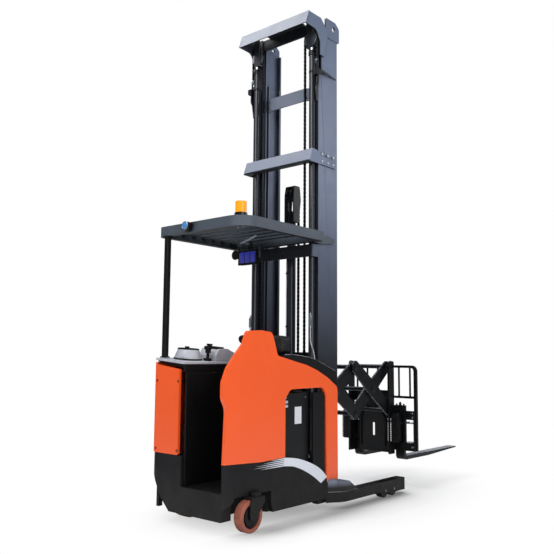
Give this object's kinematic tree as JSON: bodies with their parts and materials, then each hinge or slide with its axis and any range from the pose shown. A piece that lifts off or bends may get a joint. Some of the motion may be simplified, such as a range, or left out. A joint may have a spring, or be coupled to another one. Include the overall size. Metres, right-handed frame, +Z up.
{
  "type": "stand-up double-deep pantograph reach truck",
  "caption": "Electric stand-up reach truck with outrigger legs, a three-stage mast, a two-stage scissor reach, load backrest and forks, shown reached out.",
  "frame": {"origin": "on the floor under the middle of the whole truck", "axes": "+X forwards to the fork tips, +Y to the operator's left, +Z up"},
  "size_m": [3.932, 1.04, 4.545],
  "materials": {
    "skirt": "textured dark paint",
    "panel": "semi-gloss enamel",
    "interior": "moulded, matt",
    "console": "moulded, satin",
    "pad": "vinyl",
    "mast": "semi-gloss enamel",
    "linkage": "semi-gloss enamel",
    "rod": "polished",
    "steel": "machined",
    "fork": "worn enamel",
    "tyre": "cast polyurethane",
    "lamp": "moulded amber",
    "battery": "acid-proof paint"
  },
  "bodies": {
    "truck": {"chassis": "skirt", "compartment_liner": "interior", "rear_panel": "panel", "right_side_panel": "panel", "left_side_panel": "panel", "bay_covers": "interior", "battery": "battery", "battery_hood": "interior", "console_top": "console", "console_rim": "interior", "steering_tiller": "console", "control_handle": "interior", "control_pod": "console", "back_pad": "pad", "overhead_guard": "mast", "guard_brackets": "mast", "guard_post": "mast", "beacon": "lamp", "guard_lights": "interior", "outrigger_right": "skirt", "outrigger_left": "skirt", "shoe_covers": "skirt", "load_axles": "steel", "outer_rails": "mast", "outer_crossbars": "mast", "chain_anchors": "mast", "lift_cylinders": "mast"},
    "drive_turntable": {"drive_unit": "steel"},
    "drive_wheel": {"drive_wheel": "tyre"},
    "caster_fork": {"caster_fork": "skirt"},
    "caster_wheel": {"caster_wheel": "tyre"},
    "right_load_wheel_rear": {"right_load_wheel_rear": "tyre"},
    "right_load_wheel_front": {"right_load_wheel_front": "tyre"},
    "left_load_wheel_rear": {"left_load_wheel_rear": "tyre"},
    "left_load_wheel_front": {"left_load_wheel_front": "tyre"},
    "intermediate_mast": {"inter_rails": "mast", "inter_cap": "mast", "chain_sheaves": "steel", "lifting_eyes": "mast", "inter_tie": "mast", "lift_rods": "rod"},
    "inner_mast": {"inner_rails": "mast", "inner_ties": "mast", "free_lift_cylinder": "mast"},
    "free_lift_head": {"free_lift_head": "linkage"},
    "mast_carriage": {"mast_carriage": "linkage"},
    "rear_outer_links": {"rear_outer_links": "linkage"},
    "rear_inner_links": {"rear_inner_links": "linkage"},
    "front_inner_links": {"front_inner_links": "linkage"},
    "front_outer_links": {"front_outer_links": "linkage"},
    "front_frame": {"front_frame": "linkage"},
    "reach_barrels": {"reach_barrels": "linkage"},
    "reach_rods": {"reach_rods": "rod"},
    "side_shift_carriage": {"fork_carriage": "linkage", "load_backrest": "linkage", "fork_right": "fork", "fork_left": "fork"}
  },
  "joints": [
    {"name": "drive_steer", "type": "hinge", "parent": "truck", "child": "drive_turntable", "pos_m": [-1.626, 0.285, 0.4], "axis": [0, 0, 1], "range_deg": [-90, 90]},
    {"name": "drive_wheel_spin", "type": "hinge", "parent": "drive_turntable", "child": "drive_wheel", "pos_m": [-1.626, 0.285, 0.165], "axis": [0, 1, 0], "continuous": true},
    {"name": "caster_swivel", "type": "hinge", "parent": "truck", "child": "caster_fork", "pos_m": [-1.614, -0.45, 0.27], "axis": [0, 0, 1], "continuous": true},
    {"name": "caster_wheel_spin", "type": "hinge", "parent": "caster_fork", "child": "caster_wheel", "pos_m": [-1.689, -0.45, 0.122], "axis": [0, 1, 0], "continuous": true},
    {"name": "intermediate_lift", "type": "slide", "parent": "truck", "child": "intermediate_mast", "axis": [0, 0, 1], "range_m": [0, 3]},
    {"name": "inner_lift", "type": "slide", "parent": "intermediate_mast", "child": "inner_mast", "axis": [0, 0, 1], "range_m": [0, 3]},
    {"name": "carriage_lift", "type": "slide", "parent": "inner_mast", "child": "mast_carriage", "axis": [0, 0, 1], "range_m": [-0.2, 2.4]},
    {"name": "free_lift_head_lift", "type": "slide", "parent": "inner_mast", "child": "free_lift_head", "axis": [0, 0, 1], "range_m": [-0.1, 1.2]},
    {"name": "reach", "type": "hinge", "parent": "mast_carriage", "child": "rear_outer_links", "pos_m": [-0.536, 0, 1.231], "axis": [0, 1, 0], "range_deg": [0, 41]},
    {"name": "rear_inner_fold", "type": "hinge", "parent": "rear_outer_links", "child": "rear_inner_links", "pos_m": [-0.226, 0, 1.003], "axis": [0, 1, 0], "range_deg": [-82, 0]},
    {"name": "front_inner_fold", "type": "hinge", "parent": "rear_outer_links", "child": "front_inner_links", "pos_m": [0.084, 0, 0.775], "axis": [0, 1, 0], "range_deg": [-82, 0]},
    {"name": "front_outer_fold", "type": "hinge", "parent": "front_inner_links", "child": "front_outer_links", "pos_m": [0.394, 0, 1.003], "axis": [0, 1, 0], "range_deg": [0, 82]},
    {"name": "front_frame_level", "type": "hinge", "parent": "front_inner_links", "child": "front_frame", "pos_m": [0.704, 0, 1.231], "axis": [0, 1, 0], "range_deg": [0, 41]},
    {"name": "side_shift", "type": "slide", "parent": "front_frame", "child": "side_shift_carriage", "axis": [0, 1, 0], "range_m": [-0.01, 0.19]},
    {"name": "reach_barrel_swing", "type": "hinge", "parent": "mast_carriage", "child": "reach_barrels", "pos_m": [-0.561, 0, 0.62], "axis": [0, 1, 0], "range_deg": [-10.89, 0]},
    {"name": "reach_rod_slide", "type": "slide", "parent": "reach_barrels", "child": "reach_rods", "axis": [0.3405, 0, 0.9402], "range_m": [-0.10002, 0]},
    {"name": "right_load_wheel_rear_spin", "type": "hinge", "parent": "truck", "child": "right_load_wheel_rear", "pos_m": [0.164, -0.4675, 0.065], "axis": [0, 1, 0], "continuous": true},
    {"name": "right_load_wheel_front_spin", "type": "hinge", "parent": "truck", "child": "right_load_wheel_front", "pos_m": [0.319, -0.4675, 0.065], "axis": [0, 1, 0], "continuous": true},
    {"name": "left_load_wheel_rear_spin", "type": "hinge", "parent": "truck", "child": "left_load_wheel_rear", "pos_m": [0.164, 0.4675, 0.065], "axis": [0, 1, 0], "continuous": true},
    {"name": "left_load_wheel_front_spin", "type": "hinge", "parent": "truck", "child": "left_load_wheel_front", "pos_m": [0.319, 0.4675, 0.065], "axis": [0, 1, 0], "continuous": true}
  ],
  "couplings": [
    {"joint": "inner_lift", "follows": "intermediate_lift", "ratio": 1},
    {"joint": "free_lift_head_lift", "follows": "carriage_lift", "ratio": 0.5},
    {"joint": "rear_inner_fold", "follows": "reach", "ratio": -2},
    {"joint": "front_inner_fold", "follows": "reach", "ratio": -2},
    {"joint": "front_outer_fold", "follows": "reach", "ratio": 2},
    {"joint": "front_frame_level", "follows": "reach", "ratio": 1},
    {"joint": "reach_barrel_swing", "follows": "reach", "ratio": -0.26559},
    {"joint": "reach_rod_slide", "follows": "reach", "m_per_rad": -0.13977}
  ]
}
